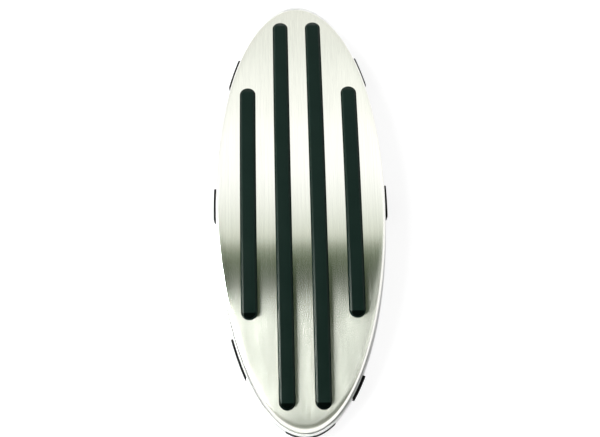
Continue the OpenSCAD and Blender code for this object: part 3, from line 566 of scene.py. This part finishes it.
shell = {
    "hooks": 1.57 * mm,     # the stop hooks inside reach this much lower than the skirt
    "skirt": (0.12 * mm, 0.15 * mm),    # inset from the plate's outline, chamfer of its lower edge
    "ledge": (0.05 * mm, 0.2 * mm),     # gap below the plate's flange, chamfer
    "neck": (1.25 * mm, 0.75 * mm),     # inset of the part inside the flange, drop of its upper edge
    "leastLedge": 0.4 * mm,     # the ledge and the ceiling stay this far above the skirt's lower edge
    "leastCeiling": 0.3 * mm,
    "wall": 2.0 * mm,
    "underPlate": 1.15 * mm,    # from the plate's face to the frame's
    "thickness": 2.0 * mm,
    "rings": (0.02, 0.2, 0.4, 0.6, 0.8, 1),
}


def frameRows():
    # over the top, down outside to the skirt's lower edge, and back under the ceiling
    outline, top = tread["outline"], shell["underPlate"]
    inside = shrink(outline, shell["wall"])
    skirtInset, skirtEdge = shell["skirt"]
    ledgeGap, ledgeEdge = shell["ledge"]
    neckInset, neckDrop = shell["neck"]
    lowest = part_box("tread_frame")[0].z + shell["hooks"]
    ledge = below(plate["edgeRadius"] + plate["flange"] + ledgeGap, lowest + shell["leastLedge"])
    ceiling = below(top + shell["thickness"], lowest + shell["leastCeiling"])
    return [
        *scaledRings(inside, shell["rings"], below(top)),
        ring(outline, neckInset, below(top + neckDrop)),
        ring(outline, neckInset, ledge),
        ring(outline, skirtInset + ledgeEdge, ledge),
        ring(outline, skirtInset, lambda y: ledge(y) - ledgeEdge),
        ring(outline, skirtInset, lowest + skirtEdge),
        ring(outline, skirtInset + skirtEdge, lowest),
        ring(inside, 0, lowest),
        *scaledRings(inside, shell["rings"][::-1], ceiling),
    ]


def makeFrame():
    piece = ovalSolid("treadFrame", frameRows(), tread["ringSteps"])
    smooth(piece, angle=35)
    finishPiece(piece, "tread", "frame_plastic", "tread_frame")


makeFrame()
print("tread frame made")

panLow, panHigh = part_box("base_pan")
pan = {
    "outline": (panHigh.x, panHigh.y),  # half width, half length
    "floor": panLow.z,
    "rim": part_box("base_wall")[1].z,
    "wall": 1.6 * mm,
    "gauge": 2.2 * mm,
    "bottomRound": (1.6 * mm, 6),       # radius, steps
    "outerRound": (0.55 * mm, 5),       # of the rim
    "innerRound": (0.4 * mm, 4),
    "underRings": (0.05, 0.5, 0.85),
    "floorRings": (0.6, 0.05),
    "panel": (46 * mm, 70 * mm, 0.5 * mm),      # sunk panel under the floor: width, length, depth
    # screws on both sides of the middle, and their recesses' radius and depth
    "screws": ((19.5 * mm, -122.6 * mm), (19.5 * mm, -113.4 * mm), (10 * mm, 90.1 * mm)),
    "screwRecess": (2.5 * mm, 1.2 * mm),
    "socket": (-49.39 * mm, 8.6 * mm, 2.35 * mm),       # y, height and radius of the hole in the wall
    "socketDrill": (3 * mm, 8 * mm),    # its middle, in from the outline, and its length
    "notchDepth": 3.6 * mm,     # below the rim, for a bumper
    "notchSlack": 0.03 * mm,    # behind the bumper
    "notchOver": (1.5 * mm, 1 * mm),    # its cutter goes past the wall and the rim
}
bumpers = {
    "edge": (0.45 * mm, 0.45),  # rounding, and the most of a bumper's reach that it takes
    "sunk": 0.6 * mm,       # into the wall
    "cut": 1.6 * mm,        # between the cuts that let a bumper follow the wall
    "proud": 1.005,         # least square of the oval radius of a corner that stands out of the wall
    # node, reach beyond the wall, whether the rim has a notch
    "rows": {
        "toeLeftBumper": ("toe_left_bumper", 2.0 * mm, False),
        "toeRightBumper": ("toe_right_bumper", 2.0 * mm, False),
        "midLeftBumper": ("mid_left_bumper", 1.5 * mm, False),
        "midRightBumper": ("mid_right_bumper", 1.5 * mm, False),
        "heelLeftBumper": ("heel_left_bumper", 0.9 * mm, True),
        "heelRightBumper": ("heel_right_bumper", 1.4 * mm, True),
        "heelBumper": ("heel_bumper", 0.5 * mm, False)},
}


def inOval(point):
    # the point in units of the tray's half width and half length
    wide, long = pan["outline"]
    return Vector((point.x / wide, point.y / long))


def ovalTurn(point):
    scaled = inOval(point)
    return math.atan2(scaled.y, scaled.x)


def ovalPoint(turn):
    wide, long = pan["outline"]
    return Vector((wide * math.cos(turn), long * math.sin(turn)))


def bumperArc(node):
    # where a bumper starts and stops round the wall, as angles of the oval, from its own solid
    corners = [vertex.co for vertex in nodes[node].data.vertices
        if inOval(vertex.co).length_squared > bumpers["proud"]]
    middle = ovalTurn(sum(corners, Vector()))
    turns = [math.remainder(ovalTurn(corner) - middle, 2 * math.pi) for corner in corners]
    return middle + min(turns), middle + max(turns)


def wallBlock(name, node, inner, outer, low, high):
    # straight block from inner to outer across the wall, as long as the bumper, cut for bending
    start, end = (ovalPoint(turn) for turn in bumperArc(node))
    length = (end - start).length
    piece = addPrimitive("cube", name, size=1)
    startEdit(piece)
    bpy.ops.transform.resize(value=(outer - inner, length, high - low))
    bpy.ops.transform.translate(value=((outer + inner) / 2, 0, (high + low) / 2))
    cuts = int(length / bumpers["cut"])
    for cut in range(1, cuts):
        bpy.ops.mesh.select_all(action="SELECT")
        bpy.ops.mesh.bisect(plane_co=(0, length * (cut / cuts - 0.5), 0), plane_no=(0, 1, 0))
    endEdit()
    return piece, length


def bendRoundWall(piece, node, length):
    first, last = bumperArc(node)
    for vertex in piece.data.vertices:
        turn = first + (last - first) * (vertex.co.y / length + 0.5)
        outward = inOval(Vector((math.cos(turn), math.sin(turn)))).normalized()
        vertex.co.xy = ovalPoint(turn) + vertex.co.x * outward


def panRows():
    # out under the floor, up the wall, over the rim and back across the floor
    outline, floor, rim = pan["outline"], pan["floor"], pan["rim"]
    rows = scaledRings(outline, pan["underRings"], floor)
    radius, steps = pan["bottomRound"]
    for sine, cosine in quarterRound(steps):
        rows.append(ring(outline, radius * (1 - sine), floor + radius * (1 - cosine)))
    radius, steps = pan["outerRound"]
    for sine, cosine in quarterRound(steps):
        rows.append(ring(outline, radius * (1 - cosine), rim - radius * (1 - sine)))
    radius, steps = pan["innerRound"]
    for sine, cosine in quarterRound(steps):
        rows.append(ring(outline, pan["wall"] - radius * (1 - sine), rim - radius * (1 - cosine)))
    rows.append(ring(outline, pan["wall"], floor + pan["gauge"]))
    return rows + scaledRings(outline, pan["floorRings"], floor + pan["gauge"])


def drill(piece, radius, depth, place, **turned):
    combine(piece, addPrimitive("cylinder", "cutter", vertices=32, radius=radius, depth=depth,
        location=place, **turned), "DIFFERENCE")


def cutNotch(piece, node):
    pastWall, pastRim = pan["notchOver"]
    cutter, length = wallBlock("cutter", node, -bumpers["sunk"] - pan["notchSlack"], pastWall,
        pan["rim"] - pan["notchDepth"], pan["rim"] + pastRim)
    bendRoundWall(cutter, node, length)
    combine(piece, cutter, "DIFFERENCE")


def makePan():
    piece = ovalSolid("basePan", panRows(), tread["ringSteps"])
    panelWidth, panelLength, panelDepth = pan["panel"]
    combine(piece, addPrimitive("cube", "cutter", size=1, location=(0, 0, pan["floor"]),
        scale=(panelWidth, panelLength, 2 * panelDepth)), "DIFFERENCE")
    recessRadius, recessDepth = pan["screwRecess"]
    for x, y in pan["screws"]:
        for side in (-1, 1):
            drill(piece, recessRadius, 2 * recessDepth, (side * x, y, pan["floor"]))
    socketPlace, socketHeight, socketRadius = pan["socket"]
    drillInset, drillLength = pan["socketDrill"]
    drill(piece, socketRadius, drillLength, (pan["outline"][0] - drillInset, socketPlace, socketHeight),
        rotation=(0, quarterTurn, 0))
    for node, reach, notched in bumpers["rows"].values():
        if notched:
            cutNotch(piece, node)
    smooth(piece, angle=35)
    finishPiece(piece, "base", "pan_plastic", "base_pan", "base_wall")


def makeBumper(name, node, reach):
    low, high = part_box(node)
    edge, edgeShare = bumpers["edge"]
    piece, length = wallBlock(name, node, -bumpers["sunk"], reach, low.z, high.z)
    applyModifier(piece, "BEVEL", width=min(edge, edgeShare * reach), segments=3,
        limit_method="ANGLE", angle_limit=math.radians(50))
    bendRoundWall(piece, node, length)
    smooth(piece, angle=40)
    finishPiece(piece, "base", "bumper_rubber", node)


makePan()
print("base pan made")
for name, (node, reach, notched) in bumpers["rows"].items():
    makeBumper(name, node, reach)
print("bumpers made")

feet = {
    "edge": (0.45 * mm, 4),     # rounding of the sole, steps
    "topEdge": 0.1 * mm,        # chamfer against the tray
    "middle": 0.3,              # size of the first ring, as a share of the foot
    # ring groove in the sole: shares of the radius, and heights
    "sole": ((0.72, 0), (0.69, 0.5 * mm), (0.60, 0.5 * mm), (0.57, 0), (0.1, 0)),
    "steps": 64,
    "nodes": {"toeLeftFoot": "toe_left_foot", "toeRightFoot": "toe_right_foot",
        "midLeftFoot": "mid_left_foot", "midRightFoot": "mid_right_foot",
        "heelLeftFoot": "heel_left_foot", "heelRightFoot": "heel_right_foot"},
}


def makeFeet():
    # the feet are alike, and so are the springs
    low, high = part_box("toe_left_foot")
    outline = ((high.x - low.x) / 2, (high.x - low.x) / 2)
    height, topEdge = pan["floor"], feet["topEdge"]
    rows = scaledRings(outline, (feet["middle"],), height)
    rows += [ring(outline, topEdge, height), ring(outline, 0, height - topEdge)]
    edge, steps = feet["edge"]
    for sine, cosine in quarterRound(steps):
        rows.append(ring(outline, edge * (1 - cosine), edge * (1 - sine)))
    for share, rise in feet["sole"]:
        rows += scaledRings(outline, (share,), rise)
    pattern = ovalSolid("foot", rows, feet["steps"])
    smooth(pattern, angle=35)
    standCopies(pattern, feet["nodes"], "base", "foot_rubber")


coil = {
    "wire": 1.2 * mm,
    "corners": 12,          # of the wire's section
    "turns": 7,
    "steps": 28,
    "keep": 0.745,          # share of its length that a spring keeps when pressed
    "nodes": {"leftSpring": "left_spring", "rightSpring": "right_spring"},
}


def makeSprings():
    low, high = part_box("left_spring")
    wire = coil["wire"] / 2
    reach = (high.x - low.x) / 2 - wire
    pattern = addPrimitive("circle", "spring", vertices=coil["corners"], radius=wire, fill_type="NOTHING")
    startEdit(pattern)
    bpy.ops.transform.rotate(value=quarterTurn, orient_axis="X", center_override=(0, 0, 0))
    bpy.ops.transform.translate(value=(reach, 0, wire))
    endEdit()
    applyModifier(pattern, "SCREW", angle=2 * math.pi, iterations=coil["turns"], steps=coil["steps"],
        render_steps=coil["steps"], screw_offset=(high.z - low.z - 2 * wire) / coil["turns"])
    startEdit(pattern)
    bpy.ops.mesh.remove_doubles(threshold=weldDistance / 10)
    bpy.ops.mesh.fill_holes(sides=0)
    closeMesh()
    smooth(pattern, angle=60)
    standCopies(pattern, coil["nodes"], "base", "spring_steel")
    for name, node in coil["nodes"].items():
        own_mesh(bpy.data.objects[name])


makeFeet()
makeSprings()
print("feet and springs made")

studio = {
    "floorSize": 6.0,
    "floorColour": (0.40, 0.40, 0.40, 1),
    "floorRoughness": 0.9,
    "floorGlow": 0.77,      # added where the floor is seen, straight, mirrored or through something clear
    "worldDiffuse": 0.5,
    "worldMirror": 1.3,
    # what steel sees along the tread: degrees from straight up, positive towards the heel
    "bands": ((-90, (0.72, 0.73, 0.68)), (-66, (0.72, 0.73, 0.68)), (-61, (0.73, 0.74, 0.69)),
        (-52, (0.77, 0.79, 0.74)), (-45, (0.87, 0.885, 0.84)), (-38, (0.915, 0.925, 0.885)),
        (-33, (1.0, 1.0, 0.97)), (-24, (0.97, 0.98, 0.96)), (-20, (0.88, 0.895, 0.86)),
        (-17, (0.81, 0.83, 0.78)), (-13.3, (0.68, 0.71, 0.64)), (-10.4, (0.58, 0.605, 0.52)),
        (-8.2, (0.18, 0.21, 0.145)), (-6.0, (0.060, 0.085, 0.040)), (-2.0, (0.032, 0.045, 0.021)),
        (25, (0.034, 0.045, 0.024)), (36, (0.16, 0.175, 0.135)), (42, (1.0, 1.0, 0.97)),
        (90, (1.0, 1.0, 0.97))),
    # outside these the sides of the room are white: (starts, all white), as shares of a direction
    "leftWhite": (-0.62, -0.80),
    "rightWhite": (0.50, 0.80),
    "glintColour": (0.97, 1.0, 0.94),
    # place, width, height, power, and whether it is a glint in steel or soft light on the rest
    "lamps": {
        "windowEdge": ((-0.80, -0.090, 0.41), 0.10, 0.28, 17.0, True),
        "windowPane": ((-0.80, -0.290, 0.41), 0.30, 0.28, 36.5, True),
        "rightPane": ((0.36, -0.325, 0.75), 0.33, 0.12, 0.20, True),
        "leftSide": ((-0.85, -0.1, 1.25), 0.6, 0.6, 14.0, False),
    },
}


def makeFloor():
    floor = addPrimitive("plane", "floor", size=studio["floorSize"])
    material = bpy.data.materials.new("floor")
    material.use_nodes = True
    tree = material.node_tree
    shader = tree.nodes["Principled BSDF"]
    shader.inputs["Base Color"].default_value = studio["floorColour"]
    shader.inputs["Roughness"].default_value = studio["floorRoughness"]
    shader.inputs["Specular IOR Level"].default_value = 0.0
    shader.inputs["Emission Color"].default_value = white
    path = tree.nodes.new("ShaderNodeLightPath")
    straight = mathNode(tree, "ADD", path.outputs["Is Camera Ray"], path.outputs["Is Glossy Ray"])
    seen = mathNode(tree, "ADD", straight, path.outputs["Is Transmission Ray"])
    glow = mathNode(tree, "MULTIPLY", seen, studio["floorGlow"])
    tree.links.new(glow, shader.inputs["Emission Strength"])
    floor.data.materials.append(material)


def backgroundNode(tree, strength):
    node = tree.nodes.new("ShaderNodeBackground")
    node.inputs["Color"].default_value = white
    node.inputs["Strength"].default_value = strength
    return node


def mixShaders(tree, factor, first, second):
    node = tree.nodes.new("ShaderNodeMixShader")
    for socket, source in zip(node.inputs, (factor, first, second)):
        tree.links.new(source, socket)
    return node.outputs[0]


def bandRamp(tree, direction):
    # the bands, by how far a direction leans from straight up towards the heel
    heelward = mathNode(tree, "MULTIPLY", direction["Y"], -1)
    halfTurns = mathNode(tree, "DIVIDE", mathNode(tree, "ARCTAN2", heelward, direction["Z"]), math.pi)
    ramp = tree.nodes.new("ShaderNodeValToRGB")
    tree.links.new(mathNode(tree, "ADD", halfTurns, 0.5), ramp.inputs["Fac"])
    stops = ramp.color_ramp.elements
    while len(stops) < len(studio["bands"]):
        stops.new(0.5)
    for stop, (angle, colour) in zip(stops, studio["bands"]):
        stop.position = (angle + 90) / 180
        stop.color = (*colour, 1)
    return ramp.outputs["Color"]


def makeWorld():
    # plain soft light, bands for what mirrors it, and white where it is seen
    world = bpy.data.worlds.new("studio")
    bpy.context.scene.world = world
    world.use_nodes = True
    tree = world.node_tree
    tree.nodes.remove(tree.nodes["Background"])
    split = tree.nodes.new("ShaderNodeSeparateXYZ")
    tree.links.new(tree.nodes.new("ShaderNodeTexCoord").outputs["Generated"], split.inputs[0])
    sides = mathNode(tree, "ADD", rangeNode(tree, split.outputs["X"], *studio["leftWhite"], 0, 1),
        rangeNode(tree, split.outputs["X"], *studio["rightWhite"], 0, 1))
    blend = tree.nodes.new("ShaderNodeMix")
    blend.data_type = "RGBA"
    tree.links.new(sides, blend.inputs["Factor"])
    tree.links.new(bandRamp(tree, split.outputs), blend.inputs["A"])
    blend.inputs["B"].default_value = white
    mirror = backgroundNode(tree, studio["worldMirror"])
    tree.links.new(blend.outputs["Result"], mirror.inputs["Color"])
    diffuse = backgroundNode(tree, studio["worldDiffuse"])
    path = tree.nodes.new("ShaderNodeLightPath")
    lit = mixShaders(tree, path.outputs["Is Glossy Ray"], diffuse.outputs[0], mirror.outputs[0])
    seen = mathNode(tree, "ADD", path.outputs["Is Camera Ray"], path.outputs["Is Transmission Ray"])
    surface = mixShaders(tree, seen, lit, backgroundNode(tree, 1).outputs[0])
    tree.links.new(surface, tree.nodes["World Output"].inputs["Surface"])


def makeLamps():
    for name, (place, width, height, power, glint) in studio["lamps"].items():
        data = bpy.data.lights.new(name, "AREA")
        data.shape = "RECTANGLE"
        data.size = width
        data.size_y = height
        data.energy = power
        if glint:
            data.color = studio["glintColour"]
        lamp = bpy.data.objects.new(name, data)
        bpy.context.scene.collection.objects.link(lamp)
        lamp.location = place
        # aimed straight across at the middle line of the tread
        lamp.rotation_euler = Vector((-place[0], 0, -place[2])).to_track_quat("-Z", "Y").to_euler()
        lamp.visible_diffuse = not glint
        lamp.visible_glossy = glint


view = {
    "lens": 56.2,
    "distance": 618.56 * mm,
    "azimuth": math.radians(-1.919),
    "elevation": math.radians(72.797),
    "roll": math.radians(0.599),
    "target": (-0.528 * mm, -7.848 * mm, 15.0 * mm),
}


def makeCamera():
    data = bpy.data.cameras.new("camera")
    data.lens = view["lens"]
    camera = bpy.data.objects.new("camera", data)
    bpy.context.scene.collection.objects.link(camera)
    turn, rise, roll = view["azimuth"], view["elevation"], view["roll"]
    back = Vector((math.sin(turn) * math.cos(rise), -math.cos(turn) * math.cos(rise), math.sin(rise)))
    right = (-back).cross(Vector((0, 0, 1))).normalized()
    up = right.cross(-back)
    sideways = math.cos(roll) * right + math.sin(roll) * up
    upwards = math.cos(roll) * up - math.sin(roll) * right
    place = Vector(view["target"]) + view["distance"] * back
    turned = Matrix((sideways, upwards, back)).transposed().to_4x4()
    camera.matrix_world = Matrix.Translation(place) @ turned
    bpy.context.scene.camera = camera


makeFloor()
makeWorld()
makeLamps()
makeCamera()
bpy.context.scene.view_settings.view_transform = "Standard"
print("studio ready")
